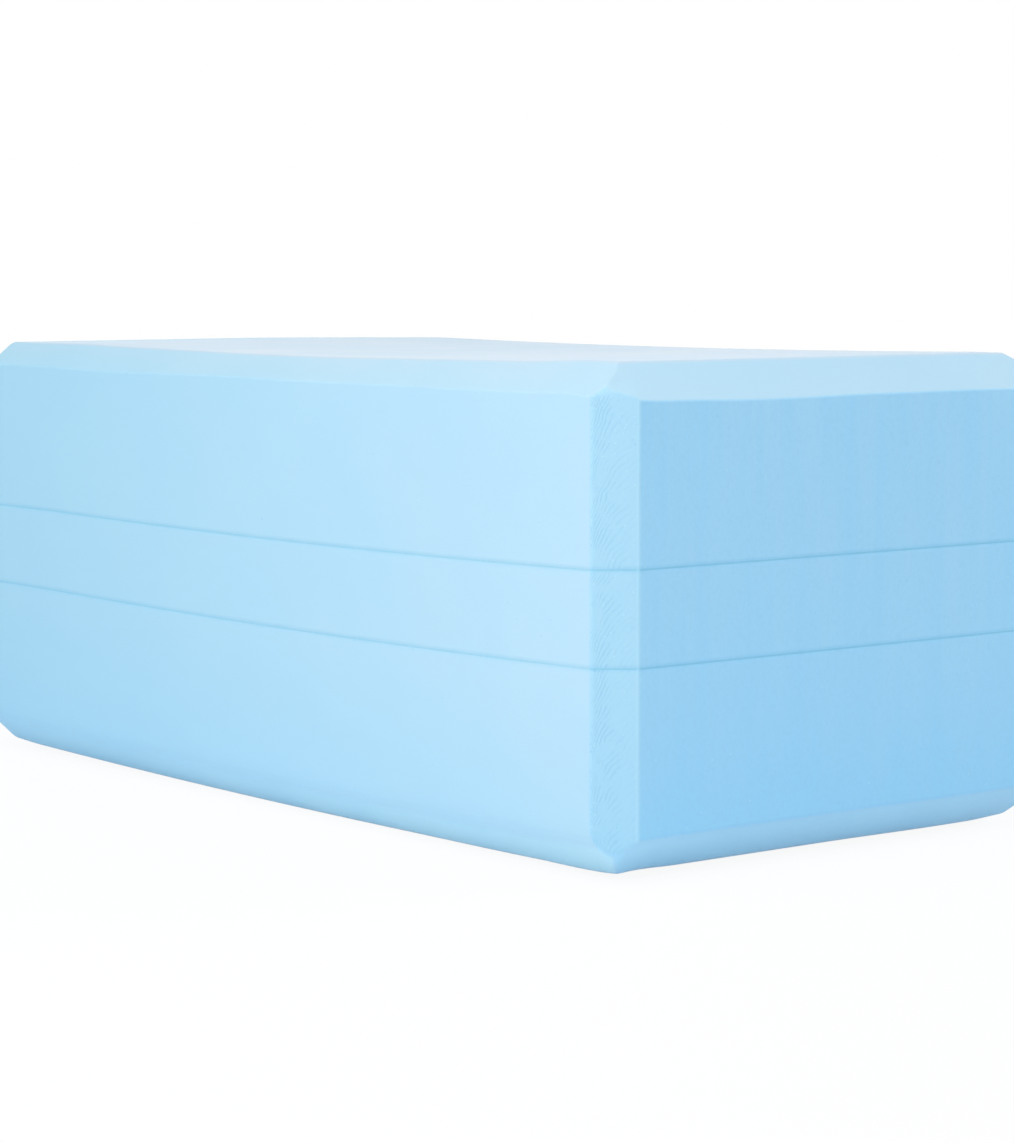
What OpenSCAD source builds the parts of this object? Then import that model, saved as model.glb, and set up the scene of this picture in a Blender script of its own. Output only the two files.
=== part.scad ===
// Foam exercise block
//
// Three sheets of closed-cell foam are glued into one brick, and the brick is
// then trimmed with a chamfer along all twelve of its edges. Every cut goes
// through sheets and glue alike, so each layer is a slice of one trimmed form.
//
// Millimetres. +Z is up, the long axis lies along X, and the origin is the
// centre of the underside.

/* [Block] */
// Length of the block, along X
block_length = 220; // [150:1:320]
// Width of the block, along Y
block_width = 110; // [70:1:200]

/* [Layers] */
// Thickness of the bottom foam sheet
bottom_sheet_thick = 36.8; // [15:0.1:60]
// Thickness of the middle foam sheet
middle_sheet_thick = 16.9; // [5:0.1:60]
// Thickness of the top foam sheet
top_sheet_thick = 35.7; // [15:0.1:60]
// Thickness of the film of glue between two sheets
glue_thick = 0.3; // [0.1:0.05:1]

/* [Chamfers] */
// Reach of the four upright chamfers across both of the faces that they join
corner_chamfer = 5.8; // [2:0.1:12]
// Reach of the top chamfers across the top face, along sides and ends alike
top_chamfer_reach = 7.4; // [3:0.1:12]
// Drop of the top chamfers down the two long sides
top_chamfer_side_drop = 4.8; // [2:0.1:12]
// Drop of the top chamfers down the two ends
top_chamfer_end_drop = 6.8; // [2:0.1:12]
// Reach and rise of the four bottom chamfers
bottom_chamfer = 6.4; // [2:0.1:12]

/* [Hidden] */

foam_blue = [0.68, 0.87, 0.98];
glue_teal = [0.52, 0.77, 0.87];

// Heights at which the layers meet, from the underside up
lower_glue_z = bottom_sheet_thick;
middle_sheet_z = lower_glue_z + glue_thick;
upper_glue_z = middle_sheet_z + middle_sheet_thick;
top_sheet_z = upper_glue_z + glue_thick;
block_height = top_sheet_z + top_sheet_thick;

// How far each cutting shape runs past the block, so that it trims the block
// by its outline alone
overrun = 5;

// A rectangle from the point low to the point high with all four corners cut:
// the two at the low edge by low_cut, the two at the high edge by high_cut,
// each given as its reach along x and along y
function cut_rectangle(low, high, low_cut, high_cut) = [
    [low.x + low_cut.x, low.y],
    [high.x - low_cut.x, low.y],
    [high.x, low.y + low_cut.y],
    [high.x, high.y - high_cut.y],
    [high.x - high_cut.x, high.y],
    [low.x + high_cut.x, high.y],
    [low.x, high.y - high_cut.y],
    [low.x, low.y + low_cut.y]
];

// The form seen from above, upright corners cut, running through the height
module plan_form() {
    half = [block_length / 2, block_width / 2];
    cut = [corner_chamfer, corner_chamfer];
    translate([0, 0, -overrun])
        linear_extrude(block_height + 2 * overrun)
            polygon(cut_rectangle(-half, half, cut, cut));
}

// An outline that stands on the ground plane, as wide as the face it is seen
// on, with the bottom chamfers and with top chamfers that drop by top_drop
module standing_outline(width, top_drop) {
    polygon(cut_rectangle(
        [-width / 2, 0], [width / 2, block_height],
        [bottom_chamfer, bottom_chamfer], [top_chamfer_reach, top_drop]
    ));
}

// The form seen from a long side, end chamfers cut, running across the width
module side_view_form() {
    rotate([90, 0, 0])
        linear_extrude(block_width + 2 * overrun, center = true)
            standing_outline(block_length, top_chamfer_end_drop);
}

// The form seen from an end, side chamfers cut, running along the length
module end_view_form() {
    rotate([90, 0, 90])
        linear_extrude(block_length + 2 * overrun, center = true)
            standing_outline(block_width, top_chamfer_side_drop);
}

// The whole block with its twelve chamfers, which meet in mitres at the eight
// corners
module trimmed_block() {
    intersection() {
        plan_form();
        side_view_form();
        end_view_form();
    }
}

// The slice of the trimmed block between two heights
module layer(low_z, high_z) {
    slab = [block_length + 2 * overrun, block_width + 2 * overrun, high_z - low_z];
    intersection() {
        trimmed_block();
        translate([-slab.x / 2, -slab.y / 2, low_z]) cube(slab);
    }
}

// Thick foam sheet that the block stands on
module bottom_sheet() {
    color(foam_blue) layer(-overrun, lower_glue_z);
}

// Film of glue between the bottom and middle sheets, seen as a dark line
module lower_glue_line() {
    color(glue_teal) layer(lower_glue_z, middle_sheet_z);
}

// Thin foam sheet at the heart of the block
module middle_sheet() {
    color(foam_blue) layer(middle_sheet_z, upper_glue_z);
}

// Film of glue between the middle and top sheets, seen as a dark line
module upper_glue_line() {
    color(glue_teal) layer(upper_glue_z, top_sheet_z);
}

// Thick foam sheet with the face for the hand or foot
module top_sheet() {
    color(foam_blue) layer(top_sheet_z, block_height + overrun);
}

bottom_sheet();
lower_glue_line();
middle_sheet();
upper_glue_line();
top_sheet();
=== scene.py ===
import math

import bmesh
import bpy
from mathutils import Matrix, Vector
from mathutils.noise import noise


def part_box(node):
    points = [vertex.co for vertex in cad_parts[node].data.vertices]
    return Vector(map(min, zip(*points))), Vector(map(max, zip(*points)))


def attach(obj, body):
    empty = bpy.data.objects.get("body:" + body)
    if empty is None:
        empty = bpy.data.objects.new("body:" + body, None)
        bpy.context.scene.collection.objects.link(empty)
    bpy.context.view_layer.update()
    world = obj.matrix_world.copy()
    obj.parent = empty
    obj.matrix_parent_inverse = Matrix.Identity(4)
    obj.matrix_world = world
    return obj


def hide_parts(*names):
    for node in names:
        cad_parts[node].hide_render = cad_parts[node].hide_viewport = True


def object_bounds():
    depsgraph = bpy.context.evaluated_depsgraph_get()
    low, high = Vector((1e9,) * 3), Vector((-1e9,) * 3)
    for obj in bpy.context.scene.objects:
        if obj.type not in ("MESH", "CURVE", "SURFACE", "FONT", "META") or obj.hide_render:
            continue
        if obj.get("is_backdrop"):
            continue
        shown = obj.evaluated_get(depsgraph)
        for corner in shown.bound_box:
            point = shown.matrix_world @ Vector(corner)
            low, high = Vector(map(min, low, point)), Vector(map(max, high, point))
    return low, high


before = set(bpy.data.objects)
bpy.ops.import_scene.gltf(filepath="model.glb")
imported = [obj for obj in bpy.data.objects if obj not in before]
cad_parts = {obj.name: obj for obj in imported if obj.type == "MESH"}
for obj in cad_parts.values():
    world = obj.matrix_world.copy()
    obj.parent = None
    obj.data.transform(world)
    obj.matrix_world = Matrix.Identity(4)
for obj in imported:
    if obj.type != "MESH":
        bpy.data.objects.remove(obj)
cad_low, cad_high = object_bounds()
bpy.ops.object.select_all(action="DESELECT")

# ---------------------------------------------------------------------------
# The trimmed brick
# Sheets of closed-cell foam are glued face to face into one brick, and a saw
# then takes a chamfer off all twelve edges, through sheets and glue alike.
# The brick is cut here as one, and is parted into its layers further down.
# ---------------------------------------------------------------------------

MM = 0.001

half_length = cad_high.x
half_width = cad_high.y
height = cad_high.z

# Reaches of the chamfers, as the solids have them
corner_chamfer = 5.8 * MM
top_reach = 7.4 * MM
top_side_drop = 4.8 * MM
top_end_drop = 6.8 * MM
bottom_chamfer = 6.4 * MM

# How far an arris is rounded over, measured out along its two faces: most are
# as the saw left them, and those near the underside are worn soft
crisp_arris = 0.32 * MM
low_end_arris = 1.0 * MM
underside_arris = 1.1 * MM
low_side_arris = 2.4 * MM
rounding_steps = 4
# How far in from a crisp arris a vertex still counts as on its rounding
rounding_reach = 1.2 * crisp_arris

# Spacing of the mesh rows on the flats, how near a corner of the brick they
# come, and where one row more runs beside each arris to keep the flat flat
row_pitch = 2 * MM
corner_margin = 8 * MM
beside_arris = 0.7 * MM
# Spacing of the rows on the upright chamfers, fine enough for the nicks of the
# saw, and of those at the corners, fine enough for their wear
chamfer_pitch = 0.3 * MM
corner_pitch = 0.6 * MM

hair = 1e-6
across, along, up = Vector((0, 1, 0)), Vector((1, 0, 0)), Vector((0, 0, 1))
# How far along a way a normal reaches where its face lies square to that way,
# and where its face only leans towards it
square, leaning = 0.999, 0.3


def choose(piece, kind, wanted):
    """Selects, in edit mode, just the faces or edges for which wanted() is true."""
    bpy.ops.mesh.select_mode(type=kind)
    bpy.ops.mesh.select_all(action="DESELECT")
    form = bmesh.from_edit_mesh(piece.data)
    for part in form.faces if kind == "FACE" else form.edges:
        if wanted(part):
            part.select_set(True)
    bmesh.update_edit_mesh(piece.data)


def saw_off(point, direction):
    """Saws off what lies beyond a plane, and closes the cut."""
    bpy.ops.mesh.select_all(action="SELECT")
    bpy.ops.mesh.bisect(
        plane_co=point,
        plane_no=Vector(direction).normalized(),
        use_fill=True,
        clear_outer=True,
        threshold=hair,
    )


def score(point, direction):
    """Adds a row of edges to the selected faces, where a plane crosses them."""
    bpy.ops.mesh.bisect(plane_co=point, plane_no=direction, threshold=hair)


def rows(low, high, pitch):
    """Evenly spaced places from low to high, about a pitch apart, both included."""
    count = max(1, round((high - low) / pitch))
    return [low + (high - low) * n / count for n in range(count + 1)]


bpy.ops.mesh.primitive_cube_add(
    size=1,
    location=(0, 0, height / 2),
    scale=(2 * half_length, 2 * half_width, height),
)
brick = bpy.context.object
brick.name = "brick"
bpy.ops.object.transform_apply(location=True, rotation=True, scale=True)
bpy.ops.object.mode_set(mode="EDIT")

for side in (-1, 1):
    long_face = side * half_width
    end_face = side * half_length
    saw_off((0, long_face, height - top_side_drop), (0, side * top_side_drop, top_reach))
    saw_off((end_face, 0, height - top_end_drop), (side * top_end_drop, 0, top_reach))
    saw_off((0, long_face, bottom_chamfer), (0, side, -1))
    saw_off((end_face, 0, bottom_chamfer), (side, 0, -1))
    for end in (-1, 1):
        saw_off((end * half_length, side * (half_width - corner_chamfer), 0), (end, side, 0))


def roundness(edge):
    """How far an arris of the sawn brick is rounded over."""
    if max(vertex.co.z for vertex in edge.verts) > bottom_chamfer + hair:
        return crisp_arris
    if max(vertex.co.z for vertex in edge.verts) < hair:
        return underside_arris
    if all(abs(vertex.co.y) > half_width - hair for vertex in edge.verts):
        return low_side_arris
    return low_end_arris


for arris in (crisp_arris, low_end_arris, underside_arris, low_side_arris):
    choose(brick, "EDGE", lambda edge: roundness(edge) == arris)
    bpy.ops.transform.edge_bevelweight(value=arris / low_side_arris)
bpy.ops.object.mode_set(mode="OBJECT")
rounding = brick.modifiers.new("rounded arrises", "BEVEL")
rounding.limit_method = "WEIGHT"
rounding.width = low_side_arris
rounding.segments = rounding_steps
bpy.ops.object.modifier_apply(modifier=rounding.name)

# Rows up the four upright chamfers
bpy.ops.object.mode_set(mode="EDIT")
chamfer_width = corner_chamfer * math.sqrt(2)
for end in (-1, 1):
    for side in (-1, 1):
        facing = Vector((end, side, 0)).normalized()
        tangent = Vector((end, -side, 0)).normalized()
        start = Vector((end * (half_length - corner_chamfer), side * half_width, 0))
        for place in rows(crisp_arris, chamfer_width - crisp_arris, chamfer_pitch)[1:-1]:
            choose(brick, "FACE", lambda face: face.normal.dot(facing) > square)
            score(start + place * tangent, tangent)

# Rows round the corners, on the chamfers and on the flat faces beside them
for end in (-1, 1):
    for place in rows(half_length - corner_margin, half_length, corner_pitch)[:-1]:
        choose(brick, "FACE", lambda face: abs(face.normal.z) > leaning)
        score(end * place * along, along)
    for place in rows(half_width - corner_margin, half_width, corner_pitch)[:-1]:
        choose(brick, "FACE", lambda face: abs(face.normal.z) > leaning)
        score(end * place * across, across)
for low, high in ((0, bottom_chamfer), (height - top_end_drop, height)):
    for place in rows(low, high, corner_pitch)[1:-1]:
        choose(brick, "FACE", lambda face: leaning < abs(face.normal.z) < square)
        score(place * up, up)

# Rows over the flats
inner_length = half_length - corner_margin
inner_width = half_width - corner_margin
length_rows = rows(-inner_length, inner_length, row_pitch)
width_rows = rows(-inner_width, inner_width, row_pitch)
for reach in (corner_chamfer, top_reach):
    length_rows += [side * (half_length - reach - beside_arris) for side in (-1, 1)]
    width_rows += [side * (half_width - reach - beside_arris) for side in (-1, 1)]
for place in length_rows:
    bpy.ops.mesh.select_all(action="SELECT")
    score(place * along, along)
for place in width_rows:
    bpy.ops.mesh.select_all(action="SELECT")
    score(place * across, across)
bpy.ops.object.mode_set(mode="OBJECT")

# ---------------------------------------------------------------------------
# Foam sheets: top_foam, middle_foam and bottom_foam
# Sheets of pale blue closed-cell EVA foam, held over their whole faces by the
# glue lines. The block has bowed a little, its ends up, and the saw has left
# curved scores on the upright chamfers and soft arrises beside them, pale from
# bruising and a painted highlight. Their colour also paints light and shade: a
# falloff along the block, floor light and shade on the bottom chamfers, shade low
# down and a reflection on the top.
# ---------------------------------------------------------------------------

# How far the ends stand up from the middle of the bowed block
bow = 1.24 * MM
# Spacing of the rows round a sheet, and how near the seams two more run
sheet_pitch = 2.4 * MM
beside_seam = (0.25 * MM, 0.7 * MM)
# Spacing of the rows on the faces that are glued, and how many more run between
# two rows round a sheet on its upright chamfers
glued_pitch = 5 * MM
rows_between = 7
# The sharpest bend that is still shaded smooth, in degrees
smooth_bend = 50

# Where the saw strayed along the upper arrises of the flat sides, in mm: pairs
# of a place along the arris and the drop of the top chamfer there
side_drops = ((-110, 4.6), (-60, 5.0), (-8, 4.3), (35, 4.65), (65, 5.0), (95, 5.5), (106, 5.8))
end_drops = ((-50, 6.4), (-44, 6.8), (-20, 7.15), (8, 6.85), (55, 6.7))
# How far below the arris the sides still follow it
stray_fade = 20 * MM

# Hollows and swellings of the top and of the underside, in mm: place, reach
# along x and y, how far up or down they are felt, and rise
top_dents = (
    (-114, 0, 46, 400, 100, -0.85),
    (-106, 52, 40, 40, 60, -0.4),
    (108, -52, 9, 9, 16, -0.45),
    (93, -50, 16, 30, 24, 0.25),
    (4, -50, 40, 60, 24, -0.15),
    (108, 50, 14, 16, 20, -0.3),
)
low_dents = (
    (85, -55, 50, 16, 14, -0.3),
    (112, 30, 16, 34, 14, -0.4),
    (95, -50, 14, 8, 8, -0.2),
    (106, -44, 8, 10, 8, 0.3),
    (106, 50, 9, 12, 8, 0.5),
    (-106, -50, 14, 10, 8, 0.3),
)

# How far below the top and above the underside the upper and lower corners
# come to their tips
upper_tip = 3.9 * MM
lower_tip = 3.5 * MM
# How each corner is worn, by the end, side and top or bottom it is on: the
# depth of the wear in mm, the depth over which it sets in, and how far the saw
# has drawn the tip over towards the long side
corner_wear = {
    (1, -1, 1): (0.7, 0.6, 1.0),
    (-1, -1, 1): (2.7, 0.6, 0),
    (1, 1, 1): (1.6, 0.6, 0.5),
    (-1, 1, 1): (1.6, 0.8, -0.4),
    (1, -1, -1): (1.1, 0.6, 0),
    (-1, -1, -1): (3.4, 5, 0),
    (1, 1, -1): (1.0, 1.6, 0),
    (-1, 1, -1): (1.6, 0.8, 0.3),
}
# How far round a drawn tip the faces follow it
tip_reach = 4.5 * MM

# Nicks of the saw's teeth along the upright arrises on the long sides: their
# depth, their length up the arris, and how far they run on the chamfer
nick_depth = 0.05 * MM
nick_length = 0.8 * MM
nick_reach = 1.4 * MM
# How wide a nick is and how long a run of nicks is, in lengths of a nick, and
# the spans of the noise over which a nick and a run set in
nick_width, nick_run = 1 / 0.7, 9
nick_span, run_span = (0.05, 0.5), (-0.3, 0.3)
# Moves the noise along from one upright arris to the next, so that none repeat
arris_shift = Vector((40, 70, 0))

# Depth and reach of the hollow that the saw leaves along a seam, and how far
# outward a face must look to have nicks and hollows
seam_hollow = 0.08 * MM
seam_reach = 0.6 * MM
least_lean = 0.2

# Bands in from the arrises in which the foam is pale, bruised and with a painted
# highlight: beside the ends, the sides and the upright chamfers, and how pale the
# fainter of them are
end_rim = (0.25 * MM, 0.42 * MM)
side_rim = (0.10 * MM, 0.28 * MM)
chamfer_rim = (0.10 * MM, 0.30 * MM)
faint_end_rim = 0.2
faint_side_rim = 0.1

# How far in from its faces the sawn foam shows, and how open the blade left it
# on the upright, bottom and top chamfers, where the ends are 1
end_skin = (0, 0.26 * MM)
cut_skin = (0.1 * MM, 0.5 * MM)
head_skin = (0, 0.2 * MM)
corner_share, foot_share, head_share = 0.54, 0.5, 0.16

# Where the painted floor light and shade of the bottom chamfers stops, and the
# painted reflection of the top, and the share of it that the top chamfers of the
# sides have
foot_band = (0.92 * bottom_chamfer, 1.06 * bottom_chamfer)
top_band = (0.1 * MM, 0.6 * MM)
side_share = 0.25
# How far in from the far end the top has less painted reflection, and how much
# less it is
far_reflection_reach, far_reflection_cut = 24 * MM, 0.5

glue_lines = ("lower_glue_line", "upper_glue_line")
seams = sorted(corner.z for node in glue_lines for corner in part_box(node))


def smooth(low, high, value):
    """0 below low, 1 above high, and an even rise between them."""
    share = min(max((value - low) / (high - low), 0), 1)
    return share * share * (3 - 2 * share)


def follow(stops, place):
    """The value at a place on the even curve through pairs of place and value."""
    low, first = stops[0]
    for high, second in stops[1:]:
        if place < high:
            return first + (second - first) * smooth(low, high, place)
        low, first = high, second
    return first


def stray(point):
    """How far the strayed saw lifts the side at a point."""
    x, y, z = point
    beside = half_length - abs(x) - half_width + abs(y)
    sidelong = smooth(-corner_chamfer, corner_chamfer, beside)
    lift = 0
    for drop, real, share in (
        (top_side_drop, follow(side_drops, -x / MM if y > 0 else x / MM) * MM, sidelong),
        (top_end_drop, follow(end_drops, -y / MM if x < 0 else y / MM) * MM, 1 - sidelong),
    ):
        arris = height - drop
        felt = (height - z) / drop if z > arris else smooth(arris - stray_fade, arris, z)
        lift += (drop - real) * felt * share
    return lift


def dent(point):
    """How far the hollows and swellings lift a point."""
    x, y, z = point / MM
    lift = 0
    for dents, within in ((top_dents, height / MM - z), (low_dents, z)):
        for middle_x, middle_y, reach_x, reach_y, depth, rise in dents:
            away = math.hypot((x - middle_x) / reach_x, (y - middle_y) / reach_y)
            lift += rise * (1 - smooth(0, 1, away)) * (1 - smooth(0, depth, within))
    return lift * MM


def worn_corner(point):
    """How the wear of the nearest corner, and its drawn tip, have moved a point."""
    signs = tuple(1 if size > 0 else -1 for size in (point.x, point.y, point.z - height / 2))
    depth, start, drawn = (size * MM for size in corner_wear[signs])
    tip = Vector((
        signs[0] * (half_length - corner_chamfer / 2),
        signs[1] * (half_width - corner_chamfer / 2),
        height - upper_tip if signs[2] > 0 else lower_tip,
    ))
    sideways = Vector((-signs[0], signs[1], 0)).normalized()
    move = sideways * drawn * (1 - smooth(0, tip_reach, (point - tip).length))
    outward = Vector(signs).normalized()
    beyond = outward.dot(point - tip) + depth
    if beyond > 0:
        move -= outward * beyond ** 2 / (beyond + start)
    return move


def nicks(point):
    """Depth of the nicks of the saw at a point of an upright chamfer."""
    outside = abs(point.x) + abs(point.y) - (half_length + half_width - corner_chamfer)
    if outside < -crisp_arris:
        return 0
    place = (abs(point.x) - half_length + corner_chamfer) * math.sqrt(2)
    place_across = place / (nick_width * nick_length)
    spot = Vector((place_across, point.z / nick_length, arris_shift.dot(point)))
    deep = smooth(*nick_span, noise(spot)) * smooth(*run_span, noise(spot / nick_run))
    return nick_depth * deep * (1 - smooth(0, nick_reach, place))


def seam_dip(point):
    """Depth of the hollow along the nearest seam."""
    nearest = min(abs(point.z - seam) for seam in seams)
    return seam_hollow * (1 - smooth(0, seam_reach, nearest))


def out_of_true(point):
    """Where a point of the true brick lies in the bowed and worn block."""
    x, y, z = point + worn_corner(point)
    z += stray(point) + dent(point)
    lift = bow * (x / half_length) ** 2
    return Vector((x, y, z * (1 - bow / height) + lift))


def within(band, distance):
    """1 nearer than a band, 0 farther than it, and an even fall across it."""
    return 1 - smooth(*band, distance)


def bruise_and_highlight(point):
    """How pale a point is, bruised and with a painted highlight: most in the end rims, at two
    corners.
    """
    to_end, to_side = half_length - abs(point.x), half_width - abs(point.y)
    to_cut = (to_end + to_side - corner_chamfer) / math.sqrt(2)
    by_end = within(end_rim, to_end) * within(chamfer_rim, to_cut)
    by_side = within(side_rim, max(to_side, to_cut))
    return max(by_end if point.x * point.y < 0 else faint_end_rim * by_end, faint_side_rim * by_side)


def sawn(point):
    """1 on the ends, which a blade has opened, and less on the chamfers; its tint is partly painted
    shade.
    """
    to_end, to_side = half_length - abs(point.x), half_width - abs(point.y)
    beside = smooth(-corner_chamfer, corner_chamfer, to_end - to_side)
    corner = within(cut_skin, (to_end + to_side - corner_chamfer) / math.sqrt(2))
    foot = within(cut_skin, (to_end + point.z - bottom_chamfer) / math.sqrt(2))
    head = within(head_skin, height - top_end_drop - point.z) * (1 - beside)
    shares = (within(end_skin, to_end), corner_share * corner, foot_share * foot, head_share * head)
    return max(shares)


def foot_light(point):
    """1 on the bottom chamfers, where floor light and shade are painted, and 0 beside."""
    to_face = min(half_width - abs(point.y), half_length - abs(point.x))
    return within(foot_band, to_face + point.z)


def top_reflection(point):
    """1 on the top, paler as a painted reflection, and less at an end and its chamfers."""
    side = smooth(-top_reach, top_reach, half_length - abs(point.x) - half_width + abs(point.y))
    chamfer = side_share * side * smooth(height - top_side_drop, height, point.z)
    far_cut = far_reflection_cut * (1 - smooth(0, far_reflection_reach, half_length - top_reach + point.x))
    return max(within(top_band, height - point.z) * (1 - far_cut), chamfer)


def stained(point):
    """1 beside a seam, where the glue has soaked in, and 0 beyond its reach."""
    return seam_dip(point) / seam_hollow


marks = {"arris": bruise_and_highlight, "sawn": sawn, "foot_light": foot_light, "top_reflection": top_reflection, "stain": stained}


def part_off(node, name):
    """Saws out of a copy of the brick the slice that a CAD node holds."""
    low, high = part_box(node)
    bpy.ops.object.select_all(action="DESELECT")
    brick.select_set(True)
    bpy.context.view_layer.objects.active = brick
    bpy.ops.object.duplicate()
    piece = bpy.context.object
    piece.name = piece.data.name = name
    bpy.ops.object.mode_set(mode="EDIT")
    if high.z < height - hair:
        saw_off((0, 0, high.z), up)
    if low.z > hair:
        saw_off((0, 0, low.z), -up)

    def glued(face):
        to_seam = min(abs(face.calc_center_median().z - seam) for seam in seams)
        return abs(face.normal.z) > square and to_seam < hair

    for place in rows(-inner_length, inner_length, glued_pitch):
        choose(piece, "FACE", glued)
        score(place * along, along)
    for place in rows(-inner_width, inner_width, glued_pitch):
        choose(piece, "FACE", glued)
        score(place * across, across)
    return piece


def work_surface(piece):
    """Gives a layer the marks of the saw and the set of the real block."""
    points = [vertex.co.copy() for vertex in piece.data.vertices]
    normals = [vertex.normal.copy() for vertex in piece.data.vertices]
    for name, measure in marks.items():
        mark = piece.data.attributes.new(name, "FLOAT", "POINT")
        mark.data.foreach_set("value", [measure(point) for point in points])
    for vertex, point, normal in zip(piece.data.vertices, points, normals):
        outward = Vector((normal.x, normal.y, 0))
        if outward.length > least_lean:
            point -= outward.normalized() * (nicks(point) + seam_dip(point))
        vertex.co = out_of_true(point)
    piece.data.update()


def finish_smooth(piece):
    """Shades a layer smooth but for the edges of its glued faces."""
    bpy.ops.object.mode_set(mode="OBJECT")
    bpy.ops.object.select_all(action="DESELECT")
    piece.select_set(True)
    bpy.context.view_layer.objects.active = piece
    bpy.ops.object.shade_smooth_by_angle(angle=math.radians(smooth_bend))
    weighted = piece.modifiers.new("even shading", "WEIGHTED_NORMAL")
    weighted.keep_sharp = True
    bpy.ops.object.modifier_apply(modifier=weighted.name)


def in_corner(vertex):
    """Whether a vertex is on an upright chamfer or its rounded arrises."""
    outside = abs(vertex.co.x) + abs(vertex.co.y) - (half_length + half_width - corner_chamfer)
    return outside > -rounding_reach


def upright(edge):
    """Whether an edge runs straight up an upright chamfer."""
    run = edge.verts[1].co - edge.verts[0].co
    return math.hypot(run.x, run.y) < hair and all(in_corner(vertex) for vertex in edge.verts)


# Colours of the foam: along the block from the far end to the near one, as a
# painted falloff of the light that leaves the near end paler, in its deeper and
# paler patches, on the sawn ends, partly the sawn foam's tone and partly painted
# shade, and on the top, paler as a painted reflection
far_shaded_blue = (0.396, 0.732, 0.938, 1)
near_lit_blue = (0.515, 0.752, 0.905, 1)
deep_blue = (0.400, 0.705, 0.940, 1)
light_blue = (0.500, 0.770, 0.970, 1)
sawn_shade_blue, sawn_shade_share = (0.318, 0.708, 1.000, 1), 0.90
top_reflection_blue, top_reflection_share = (0.625, 0.752, 0.880, 1), 0.75
# Painted floor light and shade on the bottom chamfers at the two ends, and
# painted shade that deepens the foam low down
far_foot_shade_blue = (0.310, 0.720, 0.945, 1)
near_foot_lit_blue = (0.600, 0.940, 1.000, 1)
low_shade_wash = (0.88, 0.965, 1, 1)
low_shade_reach = 34 * MM
# Of its marks: bruises, with a painted highlight, scores of the saw, pores, flecks
# and soaked-in glue
bruise_and_highlight_blue = (0.480, 0.800, 0.990, 1)
scored_blue = (0.290, 0.610, 0.850, 1)
pore_blue = (0.300, 0.610, 0.880, 1)
fleck_blue = (0.560, 0.840, 0.995, 1)
glue_wash = (0.68, 0.88, 0.93, 1)
# Of the upright chamfers, where the saw opened the foam: a touch greener
corner_wash = (1, 0.99, 0.955, 1)

# Curved scores of the saw: radius of the blade's arc, how far outside the long
# side it would stand upright, and its spacing up the chamfer
blade_arc = 26 * MM
blade_start = 0.8 * MM
score_pitch = 1.5 * MM
# How far the scores waver, and the size in mm and spans of the patches in which
# they waver and show
score_waver = 0.9 * score_pitch
waver_size, waver_span = 4.6, (0.2, 0.8)
broken_size, broken_span = 2.8, (0.40, 0.56)
# How much of its pitch a score takes, as a span of a wave, and how it fades
# across the chamfer
score_span = (0.2, 1)
score_fade, faint_score = (2.2 * MM, 6.0 * MM), 0.25
# Where the marks of the upright chamfers start, outside and inside the arris
corner_start = (-0.45 * MM, -0.05 * MM)

# Spans of the noise over which an uneven patch sets in: soft and firm
soft_span, firm_span = (0.3, 0.7), (0.35, 0.65)
# Patches of colour, streaks on the sawn ends, and grain: their size in mm, and
# how strongly they colour the foam, the streaks at the bottom and at the top
patch_size, patch_span, patch_share = 26, (0.36, 0.64), 0.16
streak_size, streak_shares, streak_run = 4.5, (0.05, 0.26), (1, 1, 0.10)
grain_size, grain_share = 0.55, 0.12
# Cells of the foam that the saw has opened: their size in mm, and their strength
cell_size, cell_span, cell_share = 0.8, (0.45, 0.70), 0.18
# Scattered flecks and pores, and crumbs and pits that the saw tore out of the
# upright chamfers: spacing and radius in mm, and the share of places with one
fleck_dots, fleck_share = (4.2, 0.24, 0.40), 0.45
pore_dots, pore_share = (3.1, 0.24, 0.35), 0.45
crumb_dots, crumb_share = (1.3, 0.30, 0.55), 0.40
pit_dots = (1.7, 0.28, 0.40)
# Share of a dot's radius over which it has its full strength
dot_heart = 0.4
# Strength of the scores, and of the pale rims: bruises with a painted highlight
score_share, bruise_and_highlight_share = 0.62, 0.45
# Soaked-in glue: the size of its clouds in mm, and its least and most strength
soak_size, soak_shares = 6, (0.30, 0.65)

# Finish of the skin: its roughness in deeper and paler patches, and a bloom of
# fine dust
foam_roughness = (0.50, 0.58)
bloom, bloom_roughness, bloom_colour = 0.25, 0.35, (1, 0.93, 0.90, 1)
# Relief of the skin: size of the bubbles in mm, how high they, the crumbs and
# the scores stand or go against a pit, and what a pit is worth
bubble_size, bubble_span = 0.42, (0.25, 0.75)
bubble_height, crumb_height, score_depth = 0.6, 2.0, 3.0
relief_strength, relief_depth = 0.25, 0.06 * MM

# The largest open pores, in mm: place, radius, and how dark beside a small one
open_pores = (
    (4.5, -55, 57.1, 0.30, 1.6),
    (104.6, -54.6, 37.4, 0.35, 1.6),
    (110, 42.1, 9.4, 0.30, 1.4),
    (110, 15.1, 48.8, 0.30, 0.8),
    (110, 14.4, 54.7, 0.60, 0.8),
    (110, 14.4, 73.8, 0.50, 0.6),
    (110, 22.7, 70.3, 0.50, 0.6),
    (110, -29.0, 78.1, 0.50, 0.6),
    (110, -31.8, 80.3, 0.50, 0.6),
    (106, -31.0, 88.1, 0.40, 0.8),
    (109.8, -24.8, 84.6, 0.40, 0.8),
    (105.8, -8.6, 88.3, 0.40, 0.8),
)


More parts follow.
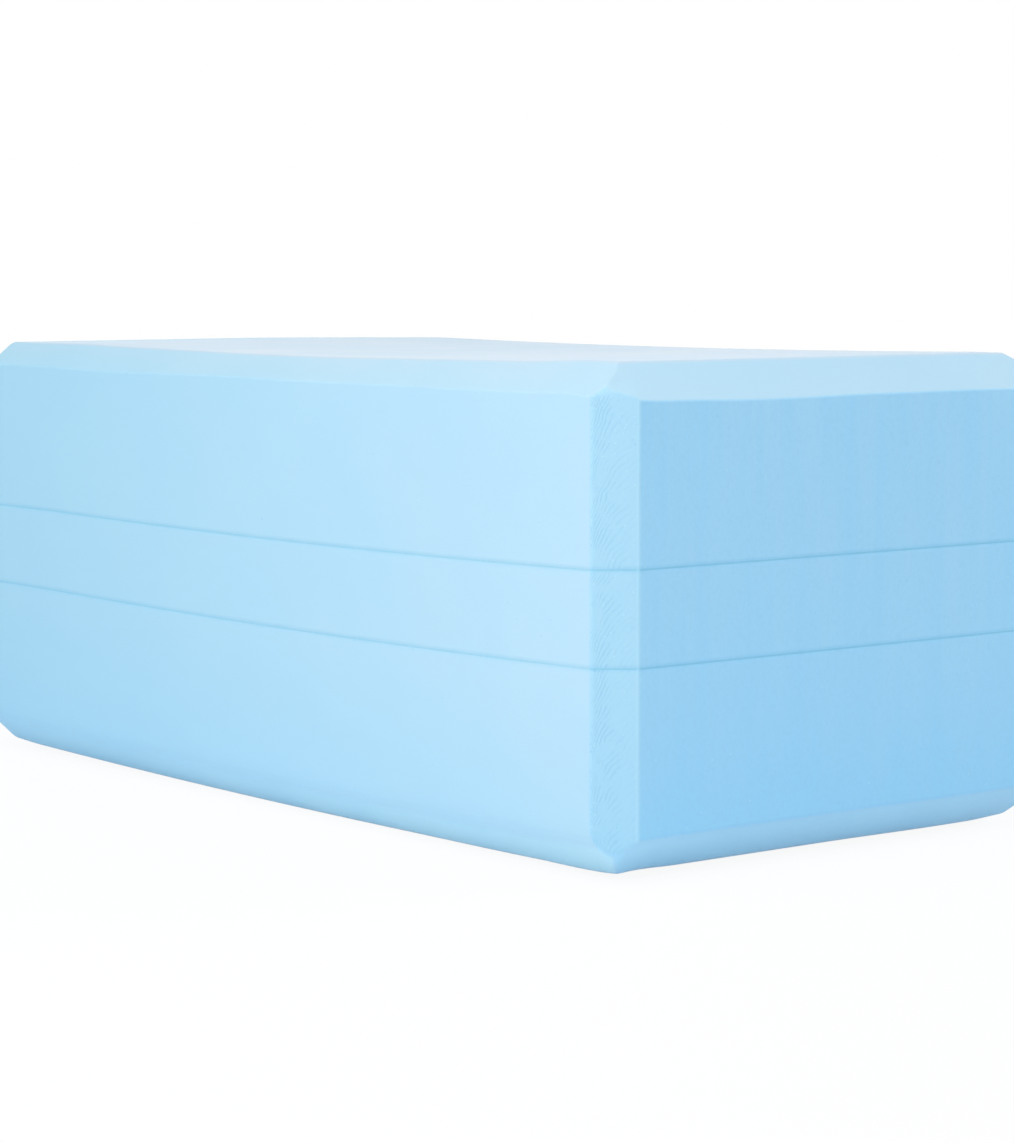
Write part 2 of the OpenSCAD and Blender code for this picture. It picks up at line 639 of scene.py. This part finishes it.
def add(tree, kind, settings=(), sockets=()):
    """Adds a node, applies its settings, and fills or links its sockets."""
    node = tree.nodes.new("ShaderNode" + kind)
    for name, value in dict(settings).items():
        setattr(node, name, value)
    for name, value in dict(sockets).items():
        if isinstance(value, bpy.types.NodeSocket):
            tree.links.new(value, node.inputs[name])
        else:
            node.inputs[name].default_value = value
    return node


def reckon(tree, operation, first, second=0.0):
    """Works out one value from another, or from two."""
    return add(tree, "Math", {"operation": operation}, {0: first, 1: second}).outputs[0]


def times(tree, first, *others):
    """Multiplies values by each other."""
    for other in others:
        first = reckon(tree, "MULTIPLY", first, other)
    return first


def between(tree, value, low, high, least=0, most=1):
    """Stretches the span of a value from low to high over least to most."""
    ends = {"Value": value, "From Min": low, "From Max": high, "To Min": least, "To Max": most}
    return add(tree, "MapRange", {}, ends).outputs[0]


def cloud(tree, where, size, span, ends=(0, 1), stretch=(1, 1, 1), detail=2):
    """Uneven patches of a size in mm: a span of the noise, stretched over two ends."""
    mapped = add(tree, "Mapping", {}, {"Vector": where, "Scale": stretch})
    settings = {"Scale": 1 / (size * MM), "Detail": detail, "Vector": mapped.outputs[0]}
    uneven = add(tree, "TexNoise", {}, settings).outputs[0]
    return between(tree, uneven, *span, *ends)


def dots(tree, where, apart, radius, share):
    """1 at scattered round dots: their spacing and radius in mm, and their share."""
    places = add(tree, "TexVoronoi", {}, {"Scale": 1 / (apart * MM), "Vector": where})
    rim = radius / apart
    spot = {"From Min": rim, "From Max": dot_heart * rim, "Value": places.outputs["Distance"]}
    spot = add(tree, "MapRange", {"interpolation_type": "SMOOTHSTEP"}, spot).outputs[0]
    chance = add(tree, "SeparateColor", {}, {"Color": places.outputs["Color"]}).outputs[0]
    return times(tree, spot, reckon(tree, "LESS_THAN", chance, share))


def tint(tree, share, under, over, blend="MIX"):
    """Lays one colour over another by a share, with the colour sockets of a mix."""
    colours = {"Factor": share, 6: under, 7: over}
    return add(tree, "Mix", {"data_type": "RGBA", "blend_type": blend}, colours).outputs[2]


def attribute(tree, name):
    """Reads one of the marks that the mesh carries."""
    return add(tree, "Attribute", {"attribute_name": name}).outputs["Fac"]


def wash(tree, share, under, over):
    """Deepens a colour by another, by a share."""
    return tint(tree, share, under, over, "MULTIPLY")


def on_corner(tree, where):
    """1 on the upright chamfers of the true brick, and 0 on its faces."""
    parts = add(tree, "SeparateXYZ", {}, {"Vector": where})
    x = reckon(tree, "ABSOLUTE", parts.outputs["X"])
    y = reckon(tree, "ABSOLUTE", parts.outputs["Y"])
    arris = half_length + half_width - corner_chamfer
    low, high = (arris + start for start in corner_start)
    return between(tree, reckon(tree, "ADD", x, y), low, high)


def foam_colour(tree, where):
    """The colour of the foam, deeper where sawn, partly as painted shade, and with
    painted light and shade: a falloff that leaves the far end deeper, shade low
    down, floor light on the bottom chamfers and a reflection on the top.
    """
    parts = add(tree, "SeparateXYZ", {}, {"Vector": where})
    # Painted falloff of the light: deeper at the far end, paler at the near one
    light_falloff = between(tree, parts.outputs["X"], -half_length, half_length)
    colour = tint(tree, light_falloff, far_shaded_blue, near_lit_blue)
    # Painted floor light on the bottom chamfers, paler at the near end
    foot = tint(tree, light_falloff, far_foot_shade_blue, near_foot_lit_blue)
    colour = tint(tree, attribute(tree, "foot_light"), colour, foot)
    # Deeper sawn foam, partly its own tone and partly painted shade of the ends
    colour = tint(tree, times(tree, attribute(tree, "sawn"), sawn_shade_share), colour, sawn_shade_blue)
    # Painted reflection on the top, paler and greyer
    colour = tint(tree, times(tree, attribute(tree, "top_reflection"), top_reflection_share), colour, top_reflection_blue)
    colour = wash(tree, on_corner(tree, where), colour, corner_wash)
    # Painted shade, deepening the foam low down
    low = between(tree, parts.outputs["Z"], low_shade_reach, 0)
    return wash(tree, low, colour, low_shade_wash)


def saw_scores(tree, where):
    """Broken arcs that the blade leaves on an upright chamfer, 1 at their darkest."""
    parts = add(tree, "SeparateXYZ", {}, {"Vector": where})
    x = reckon(tree, "ABSOLUTE", parts.outputs["X"])
    place = between(tree, x, half_length - corner_chamfer, half_length, 0, chamfer_width)
    # The blade's arc over the chamfer, nearly upright where it enters
    across_blade = reckon(tree, "SUBTRACT", blade_arc - blade_start, place)
    rise = reckon(tree, "SUBTRACT", blade_arc ** 2, times(tree, across_blade, across_blade))
    rise = reckon(tree, "SQRT", reckon(tree, "MAXIMUM", rise, 0))
    waver = cloud(tree, where, waver_size, waver_span, (-score_waver, score_waver))
    turn = reckon(tree, "ADD", reckon(tree, "SUBTRACT", parts.outputs["Z"], rise), waver)
    wave = reckon(tree, "COSINE", times(tree, turn, 2 * math.pi / score_pitch))
    mark = between(tree, wave, *score_span)
    patchy = cloud(tree, where, broken_size, broken_span)
    fade = between(tree, place, *score_fade, 1, faint_score)
    return times(tree, mark, patchy, fade)


# Foam: moulded sheets with a satin skin, in which the bubbles show only as
# fine pores and flecks, and paler where the saw has bruised an arris and a
# highlight is painted along it
foam = bpy.data.materials.new("pale blue foam")
foam.use_nodes = True
tree = foam.node_tree
shader = tree.nodes["Principled BSDF"]
where = add(tree, "TexCoord").outputs["Object"]

patches = cloud(tree, where, patch_size, patch_span)
streaks = cloud(tree, where, streak_size, firm_span, stretch=streak_run, detail=3)
level = add(tree, "SeparateXYZ", {}, {"Vector": where}).outputs["Z"]
streak_share = between(tree, level, 0, height, *streak_shares)
streaks = times(tree, streaks, attribute(tree, "sawn"), streak_share)
grain = cloud(tree, where, grain_size, soft_span, detail=1)
colour = foam_colour(tree, where)
colour = tint(tree, times(tree, patches, patch_share), colour, deep_blue)
colour = tint(tree, streaks, colour, light_blue)
colour = tint(tree, times(tree, grain, grain_share), colour, deep_blue)
cells = cloud(tree, where, cell_size, cell_span, detail=3)
cells = times(tree, cells, attribute(tree, "sawn"), cell_share)
colour = tint(tree, cells, colour, pore_blue)
flecks = dots(tree, where, *fleck_dots)
colour = tint(tree, times(tree, flecks, fleck_share), colour, fleck_blue)

pores = dots(tree, where, *pore_dots)
for x, y, z, radius, dark in open_pores:
    away = {0: where, 1: (x * MM, y * MM, z * MM)}
    away = add(tree, "VectorMath", {"operation": "DISTANCE"}, away).outputs["Value"]
    pore = between(tree, away, radius * MM, dot_heart * radius * MM, 0, dark)
    pores = reckon(tree, "MAXIMUM", pores, pore)
corners = on_corner(tree, where)
pits = times(tree, dots(tree, where, *pit_dots), corners)
pores = reckon(tree, "MAXIMUM", pores, pits)
colour = tint(tree, times(tree, pores, pore_share), colour, pore_blue)

scores = times(tree, saw_scores(tree, where), corners)
colour = tint(tree, times(tree, scores, score_share), colour, scored_blue)
crumbs = times(tree, dots(tree, where, *crumb_dots), corners)
colour = tint(tree, times(tree, crumbs, crumb_share), colour, fleck_blue)
# Pale rims along the arrises: bruises and a painted highlight
colour = tint(tree, times(tree, attribute(tree, "arris"), bruise_and_highlight_share), colour, bruise_and_highlight_blue)
soaked = cloud(tree, where, soak_size, soft_span, soak_shares)
colour = wash(tree, times(tree, attribute(tree, "stain"), soaked), colour, glue_wash)

tree.links.new(colour, shader.inputs["Base Color"])
tree.links.new(between(tree, patches, 0, 1, *foam_roughness), shader.inputs["Roughness"])
shader.inputs["Sheen Weight"].default_value = bloom
shader.inputs["Sheen Roughness"].default_value = bloom_roughness
shader.inputs["Sheen Tint"].default_value = bloom_colour

relief = cloud(tree, where, bubble_size, bubble_span, (0, bubble_height))
relief = reckon(tree, "SUBTRACT", relief, pores)
relief = reckon(tree, "ADD", relief, times(tree, crumbs, crumb_height))
relief = reckon(tree, "SUBTRACT", relief, times(tree, scores, score_depth))
skin = {"Strength": relief_strength, "Distance": relief_depth, "Height": relief}
tree.links.new(add(tree, "Bump", {}, skin).outputs[0], shader.inputs["Normal"])

for node, name in (
    ("bottom_sheet", "bottom_foam"),
    ("middle_sheet", "middle_foam"),
    ("top_sheet", "top_foam"),
):
    sheet = part_off(node, name)
    low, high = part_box(node)
    heights = rows(low.z, high.z, sheet_pitch)[1:-1]
    for seam in seams:
        heights += [seam + step for near in beside_seam for step in (-near, near)]
    for drop in (top_side_drop, top_end_drop):
        heights.append(height - drop - beside_arris)
    for place in heights:
        if low.z + hair < place < high.z - hair:
            bpy.ops.mesh.select_all(action="SELECT")
            score(place * up, up)
    choose(sheet, "EDGE", lambda edge: upright(edge) and edge.calc_length() > sheet_pitch / 2)
    bpy.ops.mesh.subdivide(number_cuts=rows_between)
    bpy.ops.object.mode_set(mode="OBJECT")
    work_surface(sheet)
    finish_smooth(sheet)
    sheet.data.materials.append(foam)
    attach(sheet, "root")
    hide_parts(node)

# ---------------------------------------------------------------------------
# Glue lines: lower_glue and upper_glue
# Contact glue is brushed on both faces, left to dry and pressed together. It
# cures to a thin, tough film, darker than the foam, that is cut off with it.
# ---------------------------------------------------------------------------

glue_teal = (0.233, 0.554, 0.730, 1)
# Smears and beads in the film, in mm, and how strongly each shows, with that of
# the teal where the blade has cut the film clean
smear_size, smear_shares = 7, (0.75, 1)
bead_size, bead_share = 1.1, 0.15
cut_share = 0.45
glue_roughness = (0.55, 0.38)

glue_film = bpy.data.materials.new("cured glue")
glue_film.use_nodes = True
tree = glue_film.node_tree
shader = tree.nodes["Principled BSDF"]
where = add(tree, "TexCoord").outputs["Object"]
smears = cloud(tree, where, smear_size, soft_span, detail=3)
beads = cloud(tree, where, bead_size, firm_span, (0, bead_share), detail=1)
# The foam's colour, with its painted light and shade
colour = foam_colour(tree, where)
colour = wash(tree, between(tree, smears, 0, 1, *smear_shares), colour, glue_wash)
colour = tint(tree, beads, colour, glue_teal)
colour = tint(tree, times(tree, attribute(tree, "sawn"), cut_share), colour, glue_teal)
# Pale rims along the arrises: bruises and a painted highlight
colour = tint(tree, times(tree, attribute(tree, "arris"), bruise_and_highlight_share), colour, bruise_and_highlight_blue)
tree.links.new(colour, shader.inputs["Base Color"])
tree.links.new(between(tree, smears, 0, 1, *glue_roughness), shader.inputs["Roughness"])

for node, name in (("lower_glue_line", "lower_glue"), ("upper_glue_line", "upper_glue")):
    film = part_off(node, name)
    bpy.ops.object.mode_set(mode="OBJECT")
    work_surface(film)
    finish_smooth(film)
    film.data.materials.append(glue_film)
    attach(film, "root")
    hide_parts(node)
bpy.data.objects.remove(brick)

# ---------------------------------------------------------------------------
# Studio: floor, backdrop and lamps
# The block stands on a broad white table in a white room, in soft, nearly even
# light. The table takes its shadow and throws light back under its chamfers.
# ---------------------------------------------------------------------------


def show_white(tree, lit, white, share, output):
    """Shows white instead of the lit surface, by a share, to sight and gloss."""
    path = add(tree, "LightPath")
    either = {0: path.outputs["Is Camera Ray"], 1: path.outputs["Is Glossy Ray"]}
    either = add(tree, "Math", {"operation": "MAXIMUM"}, either).outputs[0]
    any_sight = {0: either, 1: path.outputs["Is Transmission Ray"]}
    any_sight = add(tree, "Math", {"operation": "MAXIMUM"}, any_sight).outputs[0]
    shown = add(tree, "MixShader", {}, {"Fac": times(tree, any_sight, share), 1: lit, 2: white})
    tree.links.new(shown.outputs[0], output)


# The table, and how it goes over into the white of the room away from the block:
# from where to where, and how white it shows there
table_size = 40
table_colour, table_roughness = (0.90, 0.935, 0.98, 1), 0.9
white_from, white_to = 0.25, 0.9
near_white, far_white = 0.92, 1
room_colour, room_strength = (0.87, 0.95, 1, 1), 0.45

bpy.ops.mesh.primitive_plane_add(size=table_size)
floor = bpy.context.object
floor.name = "floor"
floor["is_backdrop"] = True
table_white = bpy.data.materials.new("white table")
table_white.use_nodes = True
tree = table_white.node_tree
shader = tree.nodes["Principled BSDF"]
shader.inputs["Base Color"].default_value = table_colour
shader.inputs["Roughness"].default_value = table_roughness
glow = add(tree, "Emission").outputs[0]
where = add(tree, "TexCoord").outputs["Object"]
away = add(tree, "VectorMath", {"operation": "LENGTH"}, {0: where}).outputs["Value"]
whiteness = between(tree, away, white_from, white_to, near_white, far_white)
show_white(tree, shader.outputs[0], glow, whiteness, tree.nodes["Material Output"].inputs["Surface"])
floor.data.materials.append(table_white)

studio = bpy.data.worlds.new("studio")
bpy.context.scene.world = studio
studio.use_nodes = True
tree = studio.node_tree
room = tree.nodes["Background"]
room.inputs["Color"].default_value = room_colour
room.inputs["Strength"].default_value = room_strength
backdrop = add(tree, "Background", {}, {"Color": (1, 1, 1, 1)}).outputs[0]
show_white(tree, room.outputs[0], backdrop, 1, tree.nodes["World Output"].inputs["Surface"])


def softbox(name, place, size, power, colour):
    """Hangs a square lamp that faces the middle of the block."""
    bpy.ops.object.light_add(type="AREA", location=place)
    lamp = bpy.context.object
    lamp.name = lamp.data.name = name
    lamp.data.size = size
    lamp.data.energy = power
    lamp.data.color = colour
    to_block = Vector((0, 0, height / 2)) - Vector(place)
    lamp.rotation_euler = to_block.to_track_quat("-Z", "Y").to_euler()


softbox("key", place=(0.24, -0.54, 0.22), size=0.3, power=0.94, colour=(1, 1, 1))
softbox("top", place=(0.08, -0.25, 0.62), size=0.4, power=1.65, colour=(1, 0.92, 0.84))
softbox("side", place=(0.45, 0.90, 0.44), size=0.5, power=4.05, colour=(1, 0.95, 0.94))
softbox("far_end", place=(-0.85, 0.25, 0.085), size=0.16, power=1.9, colour=(1, 0.97, 0.95))

# ---------------------------------------------------------------------------
# Camera
# A long lens, a little above the block's top, looks across its near corner at
# one long side and one end. The lens is shifted to keep the block in the frame.
# ---------------------------------------------------------------------------

bpy.ops.object.camera_add()
camera = bpy.context.object
camera.location = (0.5310, -0.4113, 0.1074)
# It looks down by the first angle, and is turned from +Y by the second
camera_dip, camera_turn = math.radians(5.551), math.radians(51.402)
camera.rotation_euler = (math.pi / 2 - camera_dip, 0, camera_turn)
camera.data.sensor_width = 36
camera.data.lens = 103.266
camera.data.shift_x = -0.01125
camera.data.shift_y = 0.00486
bpy.context.scene.camera = camera
bpy.context.scene.view_settings.view_transform = "Standard"

low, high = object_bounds()
